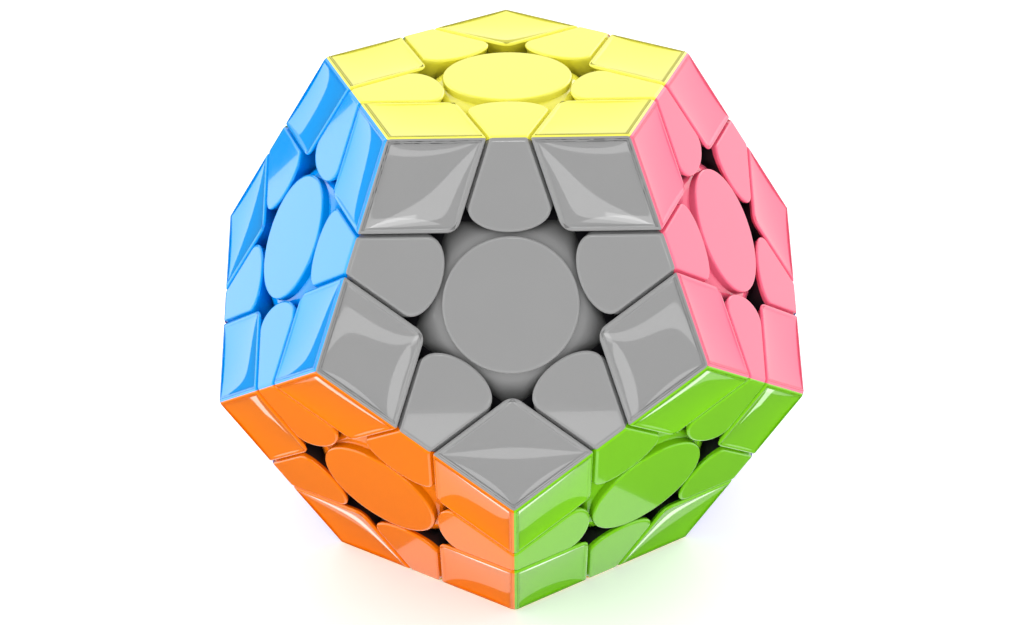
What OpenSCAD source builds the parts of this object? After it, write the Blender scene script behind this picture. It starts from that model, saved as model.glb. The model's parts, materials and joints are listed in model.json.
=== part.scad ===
// Twelve-sided twisty puzzle: a dodecahedron cut into 12 centres, 30 edges and 20 corners.
// The origin is the middle of the core, where all twelve turning axes meet. +Z is the pale yellow
// face's axis, and the puzzle rests on the opposite face. Lengths are in millimetres.

/* [Body] */
// Length of one edge of the dodecahedron
edge_len = 35; // [34.5:0.25:35.5]
// Length of a corner piece along that edge
corner_side = 14.6; // [14.2:0.1:14.8]
// Gap between pieces that slide past each other
gap = 0.4; // [0.3:0.05:0.5]
// Wall thickness of the coloured shells
wall = 1.7; // [1.4:0.1:2]

/* [Surface] */
// Room between the round centre cap and the cuts round it
cap_room = 0.08; // [0.04:0.02:0.5]
// Straight height of the cap's rim before it flares out
cap_rim = 1.2; // [0.8:0.1:2]
// Depth of the dish in a corner tile
dish_depth = 0.9; // [0.4:0.1:1.2]
// Flat rim left around that dish
dish_rim = 0.9; // [0.8:0.1:2]
// Rounding of a corner tile's inner tip
corner_tip_r = 2.2; // [1.5:0.1:3]
// Height over half width of the elliptical inner end of an edge tile
edge_bulge = 0.55; // [0.5:0.05:0.7]

/* [Mechanism] */
// Half angle of the cone that bounds a layer's stalks
stalk_angle = 43; // [42:0.5:44]
// Half angle of the wider cone that bounds a layer's feet
foot_angle = 50; // [49:0.5:51]
// Distance from the core's middle to the underside of the feet
foot_floor = 17; // [16.5:0.25:17]
// Distance from the core's middle to the top of the feet
foot_top = 23; // [22.5:0.25:23]
// Radius of the core's ball
core_r = 11; // [10:0.5:12]
// Radius of each of the core's twelve arms
arm_r = 3.4; // [3:0.1:3.6]
// Radius of the axle screws
screw_r = 1.5; // [1.3:0.1:1.6]
// Radius of the pocket that holds a spring in each hub
pocket_r = 3.5; // [3.3:0.1:3.6]

/* [Hidden] */
$fn = 72;
far = 120; // longer than anything in the puzzle
over = 1; // how far one solid runs into another that it joins or cuts
fit = 0.05; // between pieces that are pressed together
tip_steps = 5;
bulge_steps = 14;

// Angles of a regular dodecahedron, measured at its middle
face_to_face = acos(1 / sqrt(5));
edge_to_face = face_to_face / 2;
corner_to_face = asin(2 / sqrt(3) * sin(edge_to_face));
edge_to_end_face = 90 - edge_to_face;

// Distances from the middle, in the plane of a face, and to the cut planes
face_h = edge_len * sqrt(250 + 110 * sqrt(5)) / 20;
apothem = edge_len / (2 * tan(36));
face_corner_r = edge_len / (2 * sin(36));
cut_inset = corner_side * sin(72);
cut_h = face_h - cut_inset * sin(face_to_face);
cut_line = apothem - cut_inset;
cap_r = cut_line - gap / 2 / sin(face_to_face) - cap_room;

// Where the coloured shells end and the dark feet and hubs begin
edge_seat = 36.6 * edge_len / 35;
corner_seat = 37.5 * edge_len / 35;
cap_seat = 33.5 * edge_len / 35;
tower_r = pocket_r + 1.4;
plug_h = 4; // how far a foot's plug reaches up into its tiles
stalk_root = 3; // how deep a corner's stalk is rooted in its foot
hollow_inset = 4.6; // from an edge tile's inner end to its hollow

// Axle stack, from the core outwards
arm_root = core_r - 2;
arm_end = foot_floor - 0.1;
screw_tip = 6.5;
screw_play = 0.3;
hub_floor = foot_floor + 4.5;
spring_len = 7.8;
spring_r = 2.9;
spring_bore_r = 2.1;
washer_t = 0.8;
washer_r = 3;
head_t = 1.8;
head_r = 2.7;
slot_size = [3.2, 0.8, 0.9];
washer_h = hub_floor + fit + spring_len;
head_h = washer_h + washer_t;

// Each face: name, tilt of its normal from +Z, azimuth of its normal, and colour
FACES = [
    ["pale_yellow", 0, 0, [1.00, 0.98, 0.45]],
    ["grey", face_to_face, -90, [0.62, 0.62, 0.62]],
    ["pink", face_to_face, -18, [1.00, 0.46, 0.58]],
    ["red", face_to_face, 54, [0.82, 0.07, 0.09]],
    ["dark_green", face_to_face, 126, [0.02, 0.42, 0.16]],
    ["sky_blue", face_to_face, 198, [0.30, 0.74, 1.00]],
    ["lime_green", 180 - face_to_face, -54, [0.46, 0.82, 0.10]],
    ["dark_blue", 180 - face_to_face, 18, [0.04, 0.16, 0.62]],
    ["white", 180 - face_to_face, 90, [0.95, 0.95, 0.93]],
    ["purple", 180 - face_to_face, 162, [0.40, 0.14, 0.60]],
    ["orange", 180 - face_to_face, 234, [1.00, 0.47, 0.05]],
    ["yellow", 180, 0, [1.00, 0.78, 0.02]]
];
LAST = len(FACES) - 1;

// The three layers that turn, as a name and a face number. No two of these faces touch.
LAYERS = [["top", 0], ["right", 6], ["rear", 8]];
FIXED = -1;
INNER = [0.13, 0.13, 0.14];

function unit(v) = v / norm(v);
function normal(f) = let (tilt = FACES[f][1], az = FACES[f][2])
    [sin(tilt) * cos(az), sin(tilt) * sin(az), cos(tilt)];
function touching(f, g) = abs(normal(f) * normal(g) - cos(face_to_face)) < 0.01;
function total(faces) = [for (axis = [0:2]) [for (f = faces) 1] * [for (f = faces) normal(f)[axis]]];

CENTRES = [for (f = [0:LAST]) [f]];
EDGES = [for (f = [0:LAST]) for (g = [f + 1:1:LAST]) if (touching(f, g)) [f, g]];
CORNERS = [for (e = EDGES) for (g = [e[1] + 1:1:LAST])
    if (touching(e[0], g) && touching(e[1], g)) [e[0], e[1], g]];

// The layer that carries a piece, as an index into LAYERS, or FIXED
function carrier(piece) = let (found = [for (i = [0:len(LAYERS) - 1])
    if (len(search(LAYERS[i][1], piece)) > 0) i]) len(found) > 0 ? found[0] : FIXED;
function carried(pieces, layer) = [for (p = pieces) if (carrier(p) == layer) p];
function group_name(layer) = layer == FIXED ? "fixed" : LAYERS[layer][0];
function own_face(layer) = layer == FIXED ? undef : LAYERS[layer][1];
function has(piece, f) = len(search(f, piece)) > 0;

// ---- Names ----

function group_node(layer, kind) = str(group_name(layer), "_", kind);
function cap_node(f) = str(FACES[f][0], "_cap");
function tile_node(layer, f, kind) = str(group_name(layer), "_", FACES[f][0], "_", kind);

TURNING = [for (i = [0:len(LAYERS) - 1]) i];
GROUPS = concat([FIXED], TURNING);
STILL = [for (f = [0:LAST]) if (carrier([f]) == FIXED) f];
SIDES = [for (i = TURNING) for (f = [0:LAST]) if (touching(own_face(i), f)) [i, f]];

// ---- Placing ----

// Children made with their piece's axis on +Z, and with the given face on the +X side, go to that piece
module at_piece(piece, face) {
    z = unit(total(piece));
    x = unit(normal(face) - (normal(face) * z) * z);
    y = cross(z, x);
    multmatrix([[x[0], y[0], z[0], 0], [x[1], y[1], z[1], 0], [x[2], y[2], z[2], 0]]) children();
}

function a_neighbour(f) = [for (g = [0:LAST]) if (touching(f, g)) g][0];

// Children made in a face's own frame go to the face at this polar angle and azimuth of a piece
module on_face(polar, azimuth) {
    rotate([0, polar, azimuth]) children();
}

// Everything above a height, within this angle of +X on both sides
module wedge(height, angle) {
    reach = far * [cos(angle), sin(angle)];
    translate([0, 0, height]) linear_extrude(height = far)
        polygon([[0, 0], [reach[0], -reach[1]], [reach[0], reach[1]]]);
}

module slab(low, high) {
    translate([-far, -far, low]) cube([2 * far, 2 * far, high - low]);
}

// ---- Outlines with rounded corners ----

// Arc points that replace corner b between a and c
function rounded(a, b, c, r, steps) = let (
    u = unit(a - b), v = unit(c - b),
    half = acos(u * v) / 2,
    reach = r / tan(half),
    middle = b + unit(u + v) * r / sin(half),
    from = b + u * reach - middle,
    to = b + v * reach - middle,
    turn = 180 - 2 * half
) r == 0 ? [b] : [for (i = [0:steps]) let (part = turn * i / steps)
    middle + (sin(turn - part) * from + sin(part) * to) / sin(turn)];

function outline(points, radii, steps) = let (n = len(points)) [for (i = [0:n - 1])
    for (p = rounded(points[(i + n - 1) % n], points[i], points[(i + 1) % n], radii[i], steps)) p];

// A corner tile seen along its face's normal: a rhombus with a rounded inner tip
function corner_outline() = let (
    side = corner_side - gap / 2 / sin(72),
    out = [-face_corner_r, 0],
    reach = side * [cos(54), sin(54)]
) outline([out, out + [reach[0], -reach[1]], out + [2 * reach[0], 0], out + reach],
    [0, 0, corner_tip_r, 0], tip_steps);

// An edge tile seen along its face's normal: it widens inwards and ends in part of an ellipse that
// its straight sides run into smoothly
function edge_outline() = let (
    slope = tan(18),
    narrow = edge_len / 2 - corner_side - gap / 2 / cos(18),
    end = -cut_line - gap / 2,
    start = atan(edge_bulge * slope),
    half_w = (narrow + (end + apothem) * slope) / (cos(start) + edge_bulge * (1 + sin(start)) * slope),
    bulge = edge_bulge * half_w,
    outer_w = narrow - over * slope
) concat(
    [[-apothem - over, -outer_w], [-apothem - over, outer_w]],
    [for (i = [0:bulge_steps]) let (turn = -start + (180 + 2 * start) * i / bulge_steps)
        [end - bulge + bulge * sin(turn), half_w * cos(turn)]]
);

// ---- The solid of revolution that one turning layer sweeps ----

// The point where two lines meet, each given as [a, b, c] for a * radius + b * height = c
function meet(p, q) = let (d = p[0] * q[1] - p[1] * q[0])
    [(p[2] * q[1] - p[1] * q[2]) / d, (p[0] * q[2] - p[2] * q[0]) / d];

function layer_profile(grow) = let (
    half_step = (foot_angle - stalk_angle) / 2,
    middle = (foot_angle + stalk_angle) / 2,
    cut = [0, 1, cut_h - grow],
    stalk = [cos(stalk_angle), -sin(stalk_angle), grow],
    shoulder = [sin(middle), cos(middle), foot_top * cos(half_step) + grow],
    foot = [cos(foot_angle), -sin(foot_angle), grow],
    axis = [1, 0, 0]
) [[0, far], [far, far], [far, cut_h - grow], meet(cut, stalk), meet(stalk, shoulder),
    meet(shoulder, foot), meet(foot, axis)];

module layer(polar, azimuth, grow) {
    on_face(polar, azimuth) rotate_extrude() polygon(layer_profile(grow));
}

// A stretch of one of that solid's cones, drawn in by half a gap
module cone(angle, low, high) {
    function cone_r(height) = (height * sin(angle) - gap / 2) / cos(angle);
    translate([0, 0, low]) cylinder(r1 = cone_r(low), r2 = cone_r(high), h = high - low);
}

// ---- Corner pieces: three coloured tiles around one foot ----

module corner_slabs(low, high) {
    intersection() {
        on_face(corner_to_face, 0) slab(low, high);
        on_face(corner_to_face, 120) slab(low, high);
        on_face(corner_to_face, 240) slab(low, high);
    }
}

// The tile on the face to the +X side, mitred against its two neighbours
module corner_tile() {
    dish_r = cut_inset / 2 - dish_rim;
    dish_sphere = (pow(dish_r, 2) + pow(dish_depth, 2)) / (2 * dish_depth);
    dish_middle = -face_corner_r + corner_side * cos(54);
    difference() {
        intersection() {
            corner_slabs(cut_h + gap / 2, face_h);
            wedge(corner_seat, 60);
            on_face(corner_to_face, 0) linear_extrude(height = far) polygon(corner_outline());
        }
        corner_slabs(cut_h + gap / 2 + wall, face_h - wall);
        on_face(corner_to_face, 0) translate([dish_middle, 0, face_h - dish_depth + dish_sphere])
            sphere(dish_sphere);
    }
}

// Where three cones about the faces' axes overlap, between two heights
module corner_cones(angle, low, high) {
    near = low / 2;
    far_end = high * 1.2; // a corner's axis leans away from the faces' axes
    intersection() {
        on_face(corner_to_face, 0) cone(angle, near, far_end);
        on_face(corner_to_face, 120) cone(angle, near, far_end);
        on_face(corner_to_face, 240) cone(angle, near, far_end);
        slab(low, high);
    }
}

// The stalk with its wide foot, and the plug that the three tiles clip over
module corner_foot() {
    corner_cones(stalk_angle, foot_top - stalk_root, corner_seat - fit);
    intersection() {
        corner_cones(foot_angle, foot_floor, foot_top);
        sphere(foot_top - gap / 2);
    }
    intersection() {
        corner_slabs(cut_h + gap / 2 + wall + fit, face_h - wall - fit);
        slab(corner_seat - over, corner_seat + plug_h);
    }
}

// ---- Edge pieces: two coloured tiles over one foot ----

module edge_slabs(low, high, end) {
    intersection() {
        on_face(edge_to_face, 0) slab(low, high);
        on_face(edge_to_face, 180) slab(low, high);
        on_face(edge_to_end_face, 90) slab(-far, end);
        on_face(edge_to_end_face, 270) slab(-far, end);
    }
}

// The room inside the two tiles, which stops short of their rounded inner ends
module edge_hollow(play) {
    depth = cut_line + hollow_inset + play;
    intersection() {
        edge_slabs(cut_h + gap / 2 + wall + play, face_h - wall - play, cut_h - gap / 2 - wall - play);
        on_face(edge_to_face, 0) translate([-far - depth, -far, 0]) cube([far, 2 * far, far]);
        on_face(edge_to_face, 180) translate([-far - depth, -far, 0]) cube([far, 2 * far, far]);
    }
}

// The tile on the face to the +X side, mitred against the other one
module edge_tile() {
    difference() {
        intersection() {
            edge_slabs(cut_h + gap / 2, face_h, cut_h - gap / 2);
            translate([0, -far / 2, edge_seat]) cube(far);
            on_face(edge_to_face, 0) linear_extrude(height = far) polygon(edge_outline());
        }
        edge_hollow(0);
    }
}

// The hollow stalk with its wide foot, and the plug that the two tiles clip over
module edge_foot() {
    pocket = [6.4, 10];
    difference() {
        union() {
            difference() {
                intersection() {
                    layer(edge_to_face, 0, -gap / 2);
                    layer(edge_to_face, 180, -gap / 2);
                    slab(foot_floor, edge_seat - fit);
                }
                layer(edge_to_end_face, 90, gap / 2);
                layer(edge_to_end_face, 270, gap / 2);
            }
            intersection() {
                edge_hollow(fit);
                slab(edge_seat - over, edge_seat + plug_h);
            }
        }
        translate([-pocket[0] / 2, -pocket[1] / 2, foot_top + wall]) cube([pocket[0], pocket[1], far]);
    }
}

// ---- Centre pieces: a coloured cap over a hub that turns on its axle screw ----

function neck_r(height) = let (angle = face_to_face - stalk_angle)
    (height * sin(angle) - gap / 2) / cos(angle);

// Foot, flange and neck in the space that the five neighbouring layers leave, below a height
function hub_profile(top) = let (
    middle = face_to_face - (foot_angle + stalk_angle) / 2,
    half_step = (foot_angle - stalk_angle) / 2,
    foot = [cos(face_to_face - foot_angle), -sin(face_to_face - foot_angle), -gap / 2],
    flange = [sin(middle), cos(middle), foot_top * cos(half_step) + gap / 2],
    neck = [cos(face_to_face - stalk_angle), -sin(face_to_face - stalk_angle), -gap / 2]
) [[0, foot_floor], meet(foot, [0, 1, foot_floor]), meet(foot, flange), meet(flange, neck),
    [neck_r(top), top], [0, top]];

// A round disc with a straight rim, which flares out to the width of the hub's neck
module centre_cap() {
    skirt_r = neck_r(cap_seat);
    hollow_r = skirt_r - wall;
    hollow_top_r = cap_r - wall;
    top = face_h - wall;
    rotate_extrude() polygon([
        [0, top], [hollow_top_r, top], [hollow_r, cap_seat],
        [skirt_r, cap_seat], [cap_r, face_h - cap_rim], [cap_r, face_h], [0, face_h]
    ]);
}

// Foot, hollow neck and spring tower, bored for the screw and the spring
module centre_hub() {
    hollow_low = foot_top + 2 * wall;
    difference() {
        union() {
            rotate_extrude() polygon(hub_profile(cap_seat - fit));
            translate([0, 0, cap_seat - over])
                cylinder(r = tower_r, h = face_h - wall - fit - cap_seat + over);
        }
        rotate_extrude() polygon([
            [tower_r, hollow_low], [neck_r(hollow_low) - wall, hollow_low],
            [neck_r(cap_seat) - wall, cap_seat], [tower_r, cap_seat]
        ]);
        translate([0, 0, foot_floor - over]) cylinder(r = screw_r + screw_play, h = far);
        translate([0, 0, hub_floor]) cylinder(r = pocket_r, h = far);
    }
}

// ---- Core and axles, each made along +Z ----

module on_every_axis() {
    for (f = [0:LAST]) {
        at_piece([f], a_neighbour(f)) children();
    }
}

module core() {
    color(INNER) difference() {
        union() {
            sphere(core_r);
            on_every_axis() translate([0, 0, arm_root]) cylinder(r = arm_r, h = arm_end - arm_root);
        }
        on_every_axis() translate([0, 0, screw_tip - fit]) cylinder(r = screw_r + fit, h = far);
    }
}

module axle_screw() {
    difference() {
        union() {
            translate([0, 0, screw_tip]) cylinder(r = screw_r, h = head_h + head_t / 2 - screw_tip);
            translate([0, 0, head_h]) cylinder(r = head_r, h = head_t);
        }
        for (turn = [0, 90]) {
            rotate(turn) translate([-slot_size[0] / 2, -slot_size[1] / 2, head_h + head_t - slot_size[2]])
                cube([slot_size[0], slot_size[1], far]);
        }
    }
}

module axle_spring() {
    difference() {
        translate([0, 0, hub_floor + fit]) cylinder(r = spring_r, h = spring_len);
        translate([0, 0, hub_floor]) cylinder(r = spring_bore_r, h = far);
    }
}

module spring_washer() {
    difference() {
        translate([0, 0, washer_h]) cylinder(r = washer_r, h = washer_t);
        translate([0, 0, washer_h - over]) cylinder(r = screw_r + fit, h = far);
    }
}

// ---- Sub-parts ----

module axle_screws() {
    color([0.75, 0.75, 0.77]) on_every_axis() axle_screw();
}

module axle_springs() {
    color([0.65, 0.66, 0.68]) on_every_axis() axle_spring();
}

module spring_washers() {
    color([0.85, 0.85, 0.82]) on_every_axis() spring_washer();
}

module hubs(layer) {
    color(INNER) for (p = carried(CENTRES, layer)) at_piece(p, a_neighbour(p[0])) centre_hub();
}

module edge_feet(layer) {
    color(INNER) for (p = carried(EDGES, layer)) at_piece(p, p[0]) edge_foot();
}

module corner_feet(layer) {
    color(INNER) for (p = carried(CORNERS, layer)) at_piece(p, p[0]) corner_foot();
}

module cap(f) {
    color(FACES[f][3]) at_piece([f], a_neighbour(f)) centre_cap();
}

module edge_tiles(layer, f) {
    color(FACES[f][3]) for (p = carried(EDGES, layer)) if (has(p, f)) at_piece(p, f) edge_tile();
}

module corner_tiles(layer, f) {
    color(FACES[f][3]) for (p = carried(CORNERS, layer)) if (has(p, f)) at_piece(p, f) corner_tile();
}

module tiles(layer, f) {
    edge_tiles(layer, f);
    corner_tiles(layer, f);
}

core();
axle_screws();
axle_springs();
spring_washers();
for (i = GROUPS) {
    hubs(i);
    edge_feet(i);
    corner_feet(i);
}
for (f = [0:LAST]) {
    cap(f);
}
for (f = STILL) {
    tiles(FIXED, f);
}
for (i = TURNING) {
    edge_tiles(i, own_face(i));
    corner_tiles(i, own_face(i));
}
for (s = SIDES) {
    tiles(s[0], s[1]);
}
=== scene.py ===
import json
import math

import bmesh
import bpy
from mathutils import Matrix, Vector


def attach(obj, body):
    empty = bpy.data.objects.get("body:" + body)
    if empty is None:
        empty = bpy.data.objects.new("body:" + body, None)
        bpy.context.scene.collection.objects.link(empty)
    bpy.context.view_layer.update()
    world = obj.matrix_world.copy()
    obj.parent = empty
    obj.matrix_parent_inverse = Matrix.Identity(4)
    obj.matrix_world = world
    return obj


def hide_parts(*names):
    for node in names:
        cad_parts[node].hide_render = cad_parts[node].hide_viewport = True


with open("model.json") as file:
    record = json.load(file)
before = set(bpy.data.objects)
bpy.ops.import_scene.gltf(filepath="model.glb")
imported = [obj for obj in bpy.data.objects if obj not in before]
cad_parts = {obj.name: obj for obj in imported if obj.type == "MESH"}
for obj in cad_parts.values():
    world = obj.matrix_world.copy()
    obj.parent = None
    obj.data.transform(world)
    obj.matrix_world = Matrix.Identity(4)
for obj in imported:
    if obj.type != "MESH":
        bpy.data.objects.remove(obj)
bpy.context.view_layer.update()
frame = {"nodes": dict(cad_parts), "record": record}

# ---- Sizes, in metres ----

MM = 0.001
FACE_H = -frame["record"]["mounts"][0]["pos_m"][2]  # from the core's middle to each face
EDGE_LEN = FACE_H * 20 / math.sqrt(250 + 110 * math.sqrt(5))
EDGE_MM = 35  # the same length in mm, which turns the sizes below into shares of it
CORNER_SIDE = 14.6 / EDGE_MM * EDGE_LEN  # of a corner tile, along the edge
GAP = 0.4 * MM  # between pieces that slide past each other

RIM_R = 0.35 * MM  # rounding along the gaps
FOLD_R = 1.2 * MM  # rounding of the folds between faces
SUPPORT = 0.1 * MM  # flat strip that keeps a rim's rounding off the flat face
EDGE_BULGE = 0.55  # height over half width of an edge tile's inner end
TIP_R = 2.2 * MM  # rounding of a corner tile's inner tip
DISH_RIM = 0.9 * MM  # width of the flat rim round a corner tile's dish
DISH_DEPTH = 0.48 * MM  # from the dish's corners down to its middle
DISH_STEP = 0.05 * MM  # the least drop from the rim into the dish, at its corners
DISH_SPREAD = 1.3  # the nearer to 1, the flatter the dish is in its middle
LIP_WIDTH = 0.32 * MM  # of the small step down from the rim into the dish
EDGE_SEAT = 36.6 / EDGE_MM * EDGE_LEN  # where the tiles end, along their piece's axis
CORNER_SEAT = 37.5 / EDGE_MM * EDGE_LEN
PAINTED_SHADE_DEPTH = 0.85 * MM  # depth to which a tile's wall has its face's colour; below it the wall is painted dark as shade
CAP_ROOM = 0.08 * MM  # between the cap's disc and the cuts round it
CAP_RIM = 1.2 * MM  # height of the disc's rim above the skirt
CAP_DEPTH = 4.9 / EDGE_MM * EDGE_LEN  # where the skirt is widest, just above the next layers' stalks
CAP_FLARE = 4.6 * MM  # how far the skirt would spread beyond the disc if no cut held it in
CAP_CURVE = 0.65  # the smaller, the sooner the skirt spreads
CAP_NECK_R = 12.2 / EDGE_MM * EDGE_LEN  # below the skirt, where the cap sits on its hub
CAP_SEAT = 33.5 / EDGE_MM * EDGE_LEN
MERGE = 0.004 * MM  # points nearer than this become one
TOO_SHORT = 0.001 * MM  # and edges shorter than this go

# ---- Angles and distances of a regular dodecahedron ----

FACE_TO_FACE = math.acos(1 / math.sqrt(5))
HALF_FOLD = FACE_TO_FACE / 2  # from a face's normal to the middle of its edge
APOTHEM = EDGE_LEN / (2 * math.tan(math.radians(36)))
CUT_INSET = CORNER_SIDE * math.sin(math.radians(72))
CUT_LINE = APOTHEM - CUT_INSET
HALF_GAP = GAP / 2 / math.sin(FACE_TO_FACE)  # as it shows in the plane of a face
CUT_SLOPE = 1 / math.tan(FACE_TO_FACE)  # how far a cut plane moves sideways with depth
COS36, SIN36 = math.cos(math.radians(36)), math.sin(math.radians(36))
COS72, SIN72 = math.cos(math.radians(72)), math.sin(math.radians(72))
TAN18 = math.tan(math.radians(18))
FOLD_REACH = FOLD_R * math.tan(HALF_FOLD)  # how far a fold's rounding reaches into a face
CAP_R = CUT_LINE - HALF_GAP - CAP_ROOM

# ---- The faces, the pieces and the layers that turn ----

FACES = {  # tilt of the normal from +Z and its azimuth, in degrees
    "pale_yellow": (0, 0),
    "grey": (math.degrees(FACE_TO_FACE), -90),
    "pink": (math.degrees(FACE_TO_FACE), -18),
    "red": (math.degrees(FACE_TO_FACE), 54),
    "dark_green": (math.degrees(FACE_TO_FACE), 126),
    "sky_blue": (math.degrees(FACE_TO_FACE), 198),
    "lime_green": (180 - math.degrees(FACE_TO_FACE), -54),
    "dark_blue": (180 - math.degrees(FACE_TO_FACE), 18),
    "white": (180 - math.degrees(FACE_TO_FACE), 90),
    "purple": (180 - math.degrees(FACE_TO_FACE), 162),
    "orange": (180 - math.degrees(FACE_TO_FACE), 234),
    "yellow": (180, 0),
}
LAYERS = {"top": "pale_yellow", "right": "lime_green", "rear": "white"}
ROOT = "core_and_still_pieces"


def normal(face):
    tilt, azimuth = map(math.radians, FACES[face])
    return Vector((
        math.sin(tilt) * math.cos(azimuth), math.sin(tilt) * math.sin(azimuth), math.cos(tilt)
    ))


def touching(a, b):
    return abs(normal(a).dot(normal(b)) - math.cos(FACE_TO_FACE)) < 0.01


NAMES = list(FACES)
EDGES = [(a, b) for i, a in enumerate(NAMES) for b in NAMES[i + 1:] if touching(a, b)]
CORNERS = [
    (a, b, c) for a, b in EDGES for c in NAMES[NAMES.index(b) + 1:] if touching(a, c) and touching(b, c)
]


def group_of(piece):
    """The turning layer that carries a piece, or fixed."""
    return next((layer for layer, face in LAYERS.items() if face in piece), "fixed")


def body_of(group):
    return ROOT if group == "fixed" else f"{group}_layer"


def face_matrix(face, toward):
    """A face's own frame: X in the face towards a direction, Z out of it, origin in its middle."""
    z = normal(face)
    x = (toward - toward.dot(z) * z).normalized()
    y = z.cross(x)
    return Matrix((
        (x.x, y.x, z.x, z.x * FACE_H), (x.y, y.y, z.y, z.y * FACE_H), (x.z, y.z, z.z, z.z * FACE_H),
        (0, 0, 0, 1),
    ))


def axis_of(piece):
    return sum((normal(face) for face in piece), Vector())


# ---- Outlines of the tiles, each in its face's own frame ----


def spread(n):
    """n + 1 numbers from 0 to 1, denser at both ends."""
    return [(1 - math.cos(math.pi * i / n)) / 2 for i in range(n + 1)]


def sagitta(radius, distance):
    """Depth of a rounding this far before its end, from 0 to its radius."""
    used = min(max(0.0, distance), radius)
    return radius - math.sqrt(radius**2 - used**2)


def rim_depth(to_cut):
    return sagitta(RIM_R, RIM_R - to_cut)


def fold_depth(to_fold):
    return sagitta(FOLD_R, min(FOLD_REACH - to_fold, FOLD_R * math.sin(HALF_FOLD)))


def fold_limit(depth):
    """The mitre plane between two faces runs to the core's middle, so a tile gets smaller with depth."""
    return APOTHEM * (1 - depth / FACE_H)


RIM_STEPS = 6
EDGE_FOLD_STEPS = 16
EDGE_FLANK_STEPS = 10
EDGE_END_STEPS = 36


def edge_outline(depth, inset, fold_inset):
    """Points (along, across, is_fold) round an edge tile at a depth, drawn in by the insets."""
    half_w_outer = (CUT_LINE - HALF_GAP + CUT_SLOPE * depth - inset - APOTHEM * COS72) / SIN72
    end = CUT_LINE + HALF_GAP + CUT_SLOPE * depth + inset
    start = math.atan(EDGE_BULGE * TAN18)
    half_w = (half_w_outer + (APOTHEM - end) * TAN18) / (
        math.cos(start) + EDGE_BULGE * (1 + math.sin(start)) * TAN18
    )
    outer = fold_limit(depth) - fold_inset
    bulge = EDGE_BULGE * half_w

    def flank(along):
        return half_w_outer + (APOTHEM - along) * TAN18

    points = [(outer, (2 * t - 1) * flank(outer), True) for t in spread(EDGE_FOLD_STEPS)]
    end_arc = []
    for i in range(EDGE_END_STEPS + 1):
        turn = -start + (math.pi + 2 * start) * i / EDGE_END_STEPS
        end_arc.append((end + bulge - bulge * math.sin(turn), half_w * math.cos(turn), False))
    shoulder = end_arc[0][0]
    down = [outer + (shoulder - outer) * t for t in spread(EDGE_FLANK_STEPS)[1:-1]]
    points += [(u, flank(u), False) for u in down]
    points += end_arc
    points += [(u, -flank(u), False) for u in reversed(down)]
    return points


def edge_point(u, v, is_fold, inset):
    """A point of an edge tile's rounded rim, with the depth that the roundings give it."""
    to_flank = (CUT_LINE - HALF_GAP - COS72 * u - SIN72 * abs(v)) if is_fold else inset
    depth = fold_depth(APOTHEM - u) + rim_depth(to_flank)
    return Vector((min(u, fold_limit(depth)), v, -depth))


def rim_steps():
    """(inset, inset from a fold) from the flat face out to the wall."""
    steps = [(RIM_R + SUPPORT, FOLD_REACH + SUPPORT)]
    for i in range(RIM_STEPS + 1):
        share = i / RIM_STEPS
        steps.append((
            RIM_R * (1 - math.sin(math.pi / 2 * share)), FOLD_REACH - FOLD_R * math.sin(HALF_FOLD * share)
        ))
    return steps


def seat_depth(along, tilt, seat):
    """Depth below a face at which a point reaches the plane where its shell ends."""
    return FACE_H - (seat - along * math.sin(tilt)) / math.cos(tilt)


SETTLE_STEPS = 4  # rounds in which a wall point's depth and its place settle


def wall_rings(rim_end, outline, in_face, tilt, seat):
    """The wall below a tile's rim: one ring where its face's colour ends and the painted shade begins,
    and one where it sits on its foot.
    """
    rings = []
    for at_seat in (False, True):
        ring = []
        for i, top in enumerate(rim_end):
            along = top.x
            for _ in range(SETTLE_STEPS):
                depth = max(seat_depth(along, tilt, seat) if at_seat else PAINTED_SHADE_DEPTH, -top.z)
                first, second, _is_fold = outline(depth, 0, 0)[i]
                along, across = in_face(first, second)
            ring.append(Vector((along, across, -depth)))
        rings.append(ring)
    return rings


def rings_to_mesh(rings, close_first, close_last):
    """A mesh of rings of as many points each, with the first and last closed by one face if asked."""
    bm = bmesh.new()
    made = [[bm.verts.new(p) for p in ring] for ring in rings]
    for a, b in zip(made, made[1:]):
        for i in range(len(a)):
            j = (i + 1) % len(a)
            bm.faces.new((a[i], a[j], b[j], b[i]))
    if close_first:
        bm.faces.new(made[0])
    if close_last:
        bm.faces.new(made[-1])
    return bm


def finished(bm, name, painted_shade_below=None):
    """Merges doubled points, turns the faces outwards and returns the mesh.

    Faces that lie deeper than the given depth get the second material, which paints shade on the deep
    walls.
    """
    bmesh.ops.remove_doubles(bm, verts=bm.verts, dist=MERGE)
    bmesh.ops.dissolve_degenerate(bm, edges=bm.edges, dist=TOO_SHORT)
    bmesh.ops.recalc_face_normals(bm, faces=bm.faces)
    if painted_shade_below:
        for side in bm.faces:
            # painted shade: faces below this depth take the dark second material
            side.material_index = int(side.calc_center_median().z < -painted_shade_below)
    mesh = bpy.data.meshes.new(name)
    bm.to_mesh(mesh)
    bm.free()
    return mesh


def edge_tile():
    """One coloured tile of an edge piece: flat, with a half-elliptical inner end."""
    rings = []
    for inset, fold_inset in rim_steps():
        rings.append([edge_point(*p, inset) for p in edge_outline(0, inset, fold_inset)])
    rings += wall_rings(rings[-1], edge_outline, lambda u, v: (u, v), HALF_FOLD, EDGE_SEAT)
    return finished(rings_to_mesh(rings, True, True), "edge_tile", PAINTED_SHADE_DEPTH)


CORNER_STEPS = 24
TIP_STEPS = 7
LIP_STEPS = 4


def corner_frame(p, q):
    """From distances towards the corner's two folds to a face's own frame."""
    return Vector(((p + q) / (2 * COS36), (p - q) / (2 * SIN36)))


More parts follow.
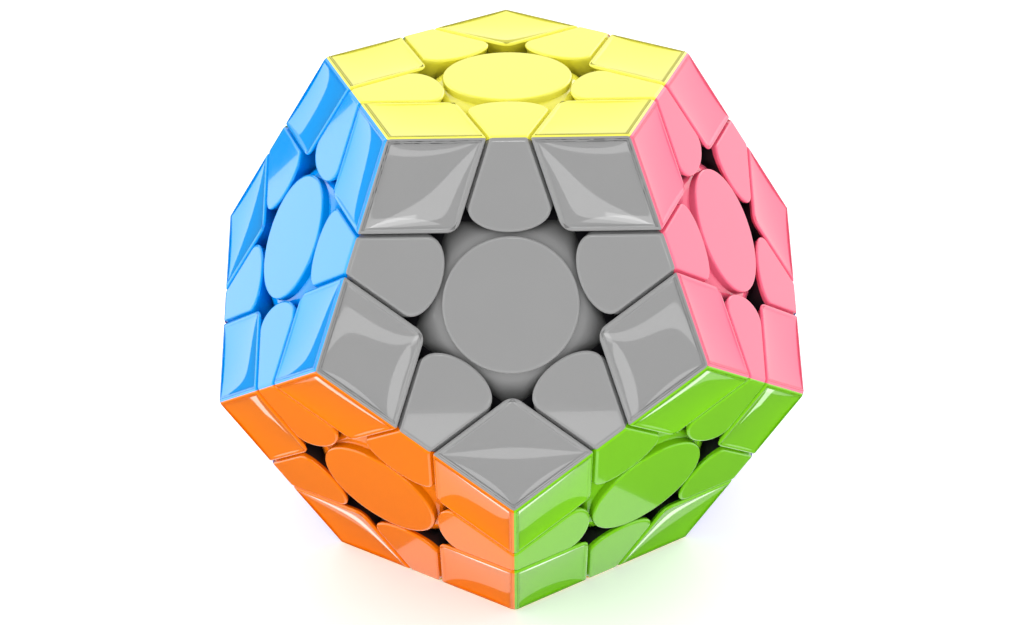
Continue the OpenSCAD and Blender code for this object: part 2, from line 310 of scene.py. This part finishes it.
def corner_outline(depth, inset, fold_inset):
    """Points (p, q, is_fold) round a corner tile: p and q are distances towards its two folds."""
    low = CUT_LINE + HALF_GAP + CUT_SLOPE * depth + inset
    high = fold_limit(depth) - fold_inset
    tip_r = TIP_R - inset
    tip = corner_frame(low, low)
    middle = tip + Vector((tip_r / COS36, 0))
    points = [(high, high + (low - high) * t, True) for t in spread(CORNER_STEPS)]
    cut = []
    straight = CORNER_STEPS - TIP_STEPS
    arc_start = middle - tip_r * Vector((COS36, -SIN36))
    start_p, start_q = to_folds(arc_start)
    for i in range(1, straight + 1):
        t = i / straight
        t = t * t * (1.5 - 0.5 * t)  # denser by the fold
        cut.append((high + (max(start_p, start_q) - high) * t, low, False))
    for i in range(1, TIP_STEPS + 1):
        turn = math.radians(36) * (1 - i / TIP_STEPS)
        p, q = to_folds(middle + tip_r * Vector((-math.cos(turn), math.sin(turn))))
        cut.append((max(p, q), min(p, q), False))
    points += cut
    points += [(q, p, False) for p, q, _ in reversed(cut[:-1])]
    points += [(q, p, True) for p, q, _ in reversed(points[1:CORNER_STEPS + 1])]
    return points


def to_folds(point):
    return point.x * COS36 + point.y * SIN36, point.x * COS36 - point.y * SIN36


def corner_point(p, q, is_fold, inset):
    """A point of a corner tile's rounded rim, with the depth that the roundings give it."""
    low = CUT_LINE + HALF_GAP
    to_cut = min(p, q) - low if is_fold else inset
    depth = fold_depth(APOTHEM - p) + fold_depth(APOTHEM - q) + rim_depth(to_cut)
    limit = fold_limit(depth)
    place = corner_frame(min(p, limit), min(q, limit))
    return Vector((place.x, place.y, -depth))


def dish(x, y):
    """Depth of the dish where x and y run from -1 to 1 between its sides, which it meets at an angle."""
    bowl = math.sqrt((DISH_SPREAD - x * x) * (DISH_SPREAD - y * y)) - DISH_SPREAD + 1
    return DISH_STEP + DISH_DEPTH * bowl


def corner_tile():
    """One coloured tile of a corner piece: a rhombus with a rounded inner tip and a shallow dish."""
    tilt = math.asin(2 / math.sqrt(3) * math.sin(HALF_FOLD))  # from the face's normal to the corner
    rings = []
    low, high = CUT_LINE + HALF_GAP + DISH_RIM, APOTHEM - DISH_RIM
    steps = spread(CORNER_STEPS)
    square = [(1.0, 1 - 2 * t) for t in steps] + [(1 - 2 * t, -1.0) for t in steps[1:]]
    square += [(-1.0, -1 + 2 * t) for t in steps[1:]] + [(-1 + 2 * t, 1.0) for t in steps[1:-1]]
    middle, half = (low + high) / 2, (high - low) / 2
    for i in range(LIP_STEPS + 2):
        share = min(1, i / LIP_STEPS)
        grow = LIP_WIDTH * share if i <= LIP_STEPS else LIP_WIDTH + SUPPORT
        ring = []
        for x, y in square:
            place = corner_frame(middle + x * (half + grow), middle + y * (half + grow))
            depth = dish(x, y) * (1 - share * share * (3 - 2 * share))
            ring.append(Vector((place.x, place.y, -depth)))
        rings.append(ring)
    for inset, fold_inset in rim_steps():
        rings.append([corner_point(*p, inset) for p in corner_outline(0, inset, fold_inset)])
    rings += wall_rings(rings[-1], corner_outline, corner_frame, tilt, CORNER_SEAT)
    bm = rings_to_mesh(rings, False, True)
    grid = []
    for x in (1 - 2 * t for t in steps):
        row = []
        for y in (1 - 2 * t for t in steps):
            place = corner_frame(middle + x * half, middle + y * half)
            row.append(bm.verts.new((place.x, place.y, -dish(x, y))))
        grid.append(row)
    for row, following in zip(grid, grid[1:]):
        for i in range(CORNER_STEPS):
            bm.faces.new((row[i], row[i + 1], following[i + 1], following[i]))
    return finished(bm, "corner_tile", PAINTED_SHADE_DEPTH)


CAP_STEPS = 180
FLARE_STEPS = 14
FLARE_SOFT = 0.6 * MM  # room within which the skirt bends to follow a cut


def centre_cap():
    """A round disc whose rim flares out, as far as the five edges round it leave room, like a bell."""
    profile = [(CAP_R - RIM_R - SUPPORT, 0.0)]
    for i in range(RIM_STEPS + 1):
        turn = math.pi / 2 * i / RIM_STEPS
        profile.append((CAP_R - RIM_R * (1 - math.sin(turn)), RIM_R * (1 - math.cos(turn))))
    for i in range(FLARE_STEPS + 1):
        t = i / FLARE_STEPS
        profile.append((CAP_R + CAP_FLARE * t**CAP_CURVE, CAP_RIM + (CAP_DEPTH - CAP_RIM) * t))
    profile.append((CAP_NECK_R, FACE_H - CAP_SEAT))
    rings = []
    for radius, depth in profile:
        ring = []
        for i in range(CAP_STEPS):
            turn = 2 * math.pi * i / CAP_STEPS
            swing = (turn + math.pi / 5) % (2 * math.pi / 5) - math.pi / 5
            limit = (CUT_LINE - HALF_GAP + CUT_SLOPE * depth) / math.cos(swing)
            room = limit - radius
            pull = max(0.0, FLARE_SOFT - room) if depth > CAP_RIM / 2 else 0.0
            r = radius - pull * pull / (4 * FLARE_SOFT) if room > -FLARE_SOFT else limit
            ring.append(Vector((r * math.cos(turn), r * math.sin(turn), -depth)))
        rings.append(ring)
    return finished(rings_to_mesh(rings, True, True), "centre_cap")


# ---- Materials ----

COLOURS = {  # linear red, green and blue
    "pale_yellow": (0.98, 0.93, 0.10),
    "grey": (0.308, 0.308, 0.308),
    "pink": (1.0, 0.145, 0.255),
    "red": (0.62, 0.01, 0.015),
    "dark_green": (0.005, 0.20, 0.04),
    "sky_blue": (0.0, 0.37, 0.98),
    "lime_green": (0.215, 0.63, 0.008),
    "dark_blue": (0.006, 0.03, 0.36),
    "white": (0.74, 0.74, 0.72),
    "purple": (0.15, 0.03, 0.36),
    "orange": (1.0, 0.226, 0.001),
    "yellow": (0.97, 0.62, 0.006),
}


def new_material(name):
    mat = bpy.data.materials.new(name)
    mat.use_nodes = True
    nt = mat.node_tree
    nt.nodes.clear()
    out = nt.nodes.new("ShaderNodeOutputMaterial")
    bsdf = nt.nodes.new("ShaderNodeBsdfPrincipled")
    nt.links.new(bsdf.outputs["BSDF"], out.inputs["Surface"])
    return mat, nt, bsdf


def noise(nt, scale, detail, roughness=0.5):
    place = nt.nodes.new("ShaderNodeTexCoord")
    node = nt.nodes.new("ShaderNodeTexNoise")
    node.inputs["Scale"].default_value = scale
    node.inputs["Detail"].default_value = detail
    node.inputs["Roughness"].default_value = roughness
    nt.links.new(place.outputs["Object"], node.inputs["Vector"])
    return node


def ranged(nt, value, low, high, from_low=0.3, from_high=0.7):
    node = nt.nodes.new("ShaderNodeMapRange")
    node.inputs["From Min"].default_value = from_low
    node.inputs["From Max"].default_value = from_high
    node.inputs["To Min"].default_value = low
    node.inputs["To Max"].default_value = high
    nt.links.new(value, node.inputs["Value"])
    return node.outputs["Result"]


def tinted(nt, value, colour, change):
    """A colour that drifts a little round the given one."""
    ramp = nt.nodes.new("ShaderNodeMix")
    ramp.data_type = "RGBA"
    ramp.inputs["A"].default_value = (*(c * (1 - change) for c in colour), 1)
    ramp.inputs["B"].default_value = (*(min(1, c * (1 + change)) for c in colour), 1)
    nt.links.new(value, ramp.inputs["Factor"])
    return ramp.outputs["Result"]


def bumped(nt, value, strength, distance):
    node = nt.nodes.new("ShaderNodeBump")
    node.inputs["Strength"].default_value = strength
    node.inputs["Distance"].default_value = distance
    nt.links.new(value, node.inputs["Height"])
    return node.outputs["Normal"]


def gloss_plastic(name, colour):
    """Polished moulded plastic: faint flow marks, and a surface that isn't quite flat."""
    mat, nt, bsdf = new_material(name)
    flow = noise(nt, scale=90, detail=3)
    fine = noise(nt, scale=900, detail=4, roughness=0.6)
    base = tinted(nt, ranged(nt, flow.outputs["Fac"], 0, 1), colour, change=0.012)
    nt.links.new(base, bsdf.inputs["Base Color"])
    nt.links.new(ranged(nt, fine.outputs["Fac"], 0.02, 0.06), bsdf.inputs["Roughness"])
    waves = bumped(nt, flow.outputs["Fac"], strength=0.1, distance=0.02 * MM)
    nt.links.new(waves, bsdf.inputs["Normal"])
    bsdf.inputs["IOR"].default_value = 1.5
    bsdf.inputs["Coat Weight"].default_value = 1.0
    bsdf.inputs["Coat Roughness"].default_value = 0.01
    return mat


def inner_plastic():
    """Unpolished dark plastic, as moulded, for the inner parts; it also paints the shade deep in the
    tiles' walls.
    """
    mat, nt, bsdf = new_material("inner_plastic")
    grain = noise(nt, scale=1600, detail=5, roughness=0.6)
    base = tinted(nt, grain.outputs["Fac"], (0.022, 0.021, 0.026), change=0.25)
    nt.links.new(base, bsdf.inputs["Base Color"])
    nt.links.new(ranged(nt, grain.outputs["Fac"], 0.38, 0.55), bsdf.inputs["Roughness"])
    pits = bumped(nt, grain.outputs["Fac"], strength=0.3, distance=0.02 * MM)
    nt.links.new(pits, bsdf.inputs["Normal"])
    return mat


def steel():
    """Bright steel with fine scratches."""
    mat, nt, bsdf = new_material("steel")
    grain = noise(nt, scale=2500, detail=6, roughness=0.7)
    base = tinted(nt, grain.outputs["Fac"], (0.62, 0.62, 0.64), change=0.1)
    nt.links.new(base, bsdf.inputs["Base Color"])
    nt.links.new(ranged(nt, grain.outputs["Fac"], 0.18, 0.36), bsdf.inputs["Roughness"])
    scratches = bumped(nt, grain.outputs["Fac"], strength=0.2, distance=0.01 * MM)
    nt.links.new(scratches, bsdf.inputs["Normal"])
    bsdf.inputs["Metallic"].default_value = 1.0
    return mat


SHELL_MATERIALS = {face: gloss_plastic(face, colour) for face, colour in COLOURS.items()}
INNER_AND_WALL_SHADE, STEEL = inner_plastic(), steel()
LIGHT_WALLS = ("pale_yellow", "sky_blue")  # tiles whose walls show their colour all the way down, without the painted shade that darkens the other tiles' walls

# ---- Building the pieces ----

SHARP = math.radians(40)  # edges sharper than this aren't smoothed over


def joined(name, placed, *materials):
    """One object of copies of meshes, each placed by its matrix."""
    bm = bmesh.new()
    for mesh, matrix in placed:
        first = len(bm.verts)
        bm.from_mesh(mesh)
        bm.verts.ensure_lookup_table()
        bmesh.ops.transform(bm, matrix=matrix, verts=bm.verts[first:])
    mesh = bpy.data.meshes.new(name)
    bm.to_mesh(mesh)
    bm.free()
    mesh.shade_smooth()
    mesh.set_sharp_from_angle(angle=SHARP)
    for material in materials:
        mesh.materials.append(material)
    obj = bpy.data.objects.new(name, mesh)
    bpy.context.scene.collection.objects.link(obj)
    return obj


EDGE_TILE, CORNER_TILE, CAP = edge_tile(), corner_tile(), centre_cap()


def shell(node, face, group, placed):
    """Stands for a CAD node with finer shells of one colour, whose deep walls carry painted shade on most
    faces.
    """
    # painted shade: the walls below the shade depth go dark, unless the face keeps its colour all the way
    # down
    deep = SHELL_MATERIALS[face] if face in LIGHT_WALLS else INNER_AND_WALL_SHADE
    obj = joined(f"shell_{node}", placed, SHELL_MATERIALS[face], deep)
    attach(obj, body_of(group))
    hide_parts(node)


def tiles(mesh, pieces, face, group):
    return [
        (mesh, face_matrix(face, axis_of(p))) for p in pieces if face in p and group_of(p) == group
    ]


for face in NAMES:
    group = group_of((face,))
    neighbour = next(other for other in NAMES if touching(face, other))
    shell(f"{face}_cap", face, group, [(CAP, face_matrix(face, normal(neighbour)))])
for group in ["fixed", *LAYERS]:
    for face in NAMES:
        edges, corners = tiles(EDGE_TILE, EDGES, face, group), tiles(CORNER_TILE, CORNERS, face, group)
        if LAYERS.get(group) == face:
            shell(f"{group}_{face}_edge_tiles", face, group, edges)
            shell(f"{group}_{face}_corner_tiles", face, group, corners)
        elif edges:
            shell(f"{group}_{face}_tiles", face, group, edges + corners)

# ---- Springs ----


def helix(z_low, z_high, radius, wire_r, turns):
    """A coil along +Z whose first and last turns lie flat."""
    around, per_turn = 10, 28
    rings = []
    total = turns * per_turn
    for i in range(total + 1):
        turn = 2 * math.pi * i / per_turn
        share = min(1, max(0, (i / per_turn - 1) / (turns - 2)))
        height = z_low + wire_r + (z_high - z_low - 2 * wire_r) * share
        out = Vector((math.cos(turn), math.sin(turn), 0))
        ring = []
        for k in range(around):
            a = 2 * math.pi * k / around
            rise = Vector((0, 0, height + wire_r * math.sin(a)))
            ring.append(out * (radius + wire_r * math.cos(a)) + rise)
        rings.append(ring)
    return finished(rings_to_mesh(rings, True, True), "spring")


SPRING_LOW = 21.56 * MM  # the inner end, from the core's middle
SPRING_HIGH = 29.34 * MM  # the outer end
SPRING_R = 2.52 * MM  # to the middle of the wire
WIRE_R = 0.36 * MM
SPRING_TURNS = 7
SPRING = helix(SPRING_LOW, SPRING_HIGH, SPRING_R, WIRE_R, SPRING_TURNS)
AXES = [normal(face).to_track_quat("Z", "Y").to_matrix().to_4x4() for face in NAMES]
springs = joined("coil_springs", [(SPRING, axis) for axis in AXES], STEEL)
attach(springs, ROOT)
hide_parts("axle_springs")

# ---- CAD pieces that stay ----

for name, obj in frame["nodes"].items():
    if obj.hide_render:
        continue
    material = STEEL if name in ("axle_screws", "spring_washers") else INNER_AND_WALL_SHADE
    obj.data.materials.clear()
    obj.data.materials.append(material)

# ---- Floor, light and camera ----

FLOOR_SIZE = 8
LIGHT_DISTANCE = 0.9
SOFTBOXES = {  # azimuth, elevation, width, height, radiance and roll, all angles in degrees
    "front_left": (-7.6, 34.6, 28, 6.5, 1.6, 45),
    "front_right": (7.6, 34.6, 28, 6.5, 1.6, -45),
    "front_strip": (0, 21.2, 60, 2.8, 1.4, 0),
    "front_low": (0, -4, 50, 10, 1.6, 0),
    "front_side_left": (-18, 15, 3, 16, 1.4, 0),
    "front_side_right": (18, 15, 3, 16, 1.4, 0),
    "front_top": (0, 38, 7, 2, 1.6, 0),
    "left_wall": (-97.1, 2, 76, 74, 1.0, 0),
    "right_wall": (115, 2, 100, 74, 0.66, 0),
    "back_wall": (180, 43, 100, 64, 0.6, 0),
    "back_low": (180, -10, 36, 30, 0.5, 0),
    "below": (177.6, -68, 50, 60, 0.39, 0),
    "below_strip": (180, -61, 56, 3.5, 1.3, 0),
}
WORLD_LIGHT = 0.95
WORLD_IN_REFLECTIONS = 0.08  # dimmer, so that the softboxes stand out
CAMERA_AZIMUTH, CAMERA_ELEVATION, CAMERA_ROLL = map(math.radians, (-0.14, 27.0, -0.76))
CAMERA_DISTANCE = 10.67  # in edges of the puzzle
CAMERA_SHIFT = (0.0017, -0.0094)
LENS, SENSOR = 82.1, 36


def direction(azimuth, elevation):
    """Out from the puzzle, azimuth 0 being the camera's side."""
    level = math.cos(elevation)
    return Vector((math.sin(azimuth) * level, -math.cos(azimuth) * level, math.sin(elevation)))


def floor():
    mat, nt, bsdf = new_material("floor")
    grain = noise(nt, scale=40, detail=4)
    base = tinted(nt, grain.outputs["Fac"], (0.93, 0.93, 0.93), change=0.01)
    nt.links.new(base, bsdf.inputs["Base Color"])
    bsdf.inputs["Roughness"].default_value = 0.9
    bsdf.inputs["Emission Color"].default_value = (1, 1, 1, 1)
    bsdf.inputs["Emission Strength"].default_value = 0.3
    bpy.ops.mesh.primitive_plane_add(size=FLOOR_SIZE, location=(0, 0, -FACE_H))
    plane = bpy.context.object
    plane.name = "floor"
    plane.data.materials.append(mat)
    plane.visible_glossy = False


def softbox(name, azimuth, elevation, width, height, radiance, roll):
    """A flat light of this many degrees as seen from the puzzle."""
    light = bpy.data.lights.new(name, "AREA")
    light.shape = "RECTANGLE"
    light.size = 2 * LIGHT_DISTANCE * math.tan(math.radians(width / 2))
    light.size_y = 2 * LIGHT_DISTANCE * math.tan(math.radians(height / 2))
    light.energy = radiance * math.pi * light.size * light.size_y
    obj = bpy.data.objects.new(name, light)
    back = direction(math.radians(azimuth), math.radians(elevation))
    obj.location = back * LIGHT_DISTANCE
    obj.rotation_mode = "QUATERNION"
    turn = Matrix.Rotation(math.radians(roll), 4, "Z").to_quaternion()
    obj.rotation_quaternion = back.to_track_quat("Z", "Y") @ turn
    obj.visible_camera = False
    bpy.context.scene.collection.objects.link(obj)


def studio_world():
    """Even white light all round, which shows dimmer in reflections."""
    world = bpy.data.worlds.new("studio")
    world.use_nodes = True
    nt = world.node_tree
    rays = nt.nodes.new("ShaderNodeLightPath")
    strength = ranged(
        nt, rays.outputs["Is Glossy Ray"], WORLD_LIGHT, WORLD_IN_REFLECTIONS, from_low=0, from_high=1
    )
    nt.links.new(strength, nt.nodes["Background"].inputs["Strength"])
    nt.nodes["Background"].inputs["Color"].default_value = (1, 1, 1, 1)
    bpy.context.scene.world = world


def camera():
    cam = bpy.data.cameras.new("camera")
    cam.lens, cam.sensor_width = LENS, SENSOR
    cam.clip_start, cam.clip_end = 0.01, 20
    obj = bpy.data.objects.new("camera", cam)
    back = direction(CAMERA_AZIMUTH, CAMERA_ELEVATION)
    obj.location = back * (EDGE_LEN * CAMERA_DISTANCE)
    obj.rotation_mode = "QUATERNION"
    turn = (-back).to_track_quat("-Z", "Y")
    obj.rotation_quaternion = turn @ Matrix.Rotation(CAMERA_ROLL, 4, "Z").to_quaternion()
    cam.shift_x, cam.shift_y = CAMERA_SHIFT
    bpy.context.scene.collection.objects.link(obj)
    bpy.context.scene.camera = obj


floor()
for name, setting in SOFTBOXES.items():
    softbox(name, *setting)
camera()
studio_world()
bpy.context.scene.view_settings.view_transform = "Standard"
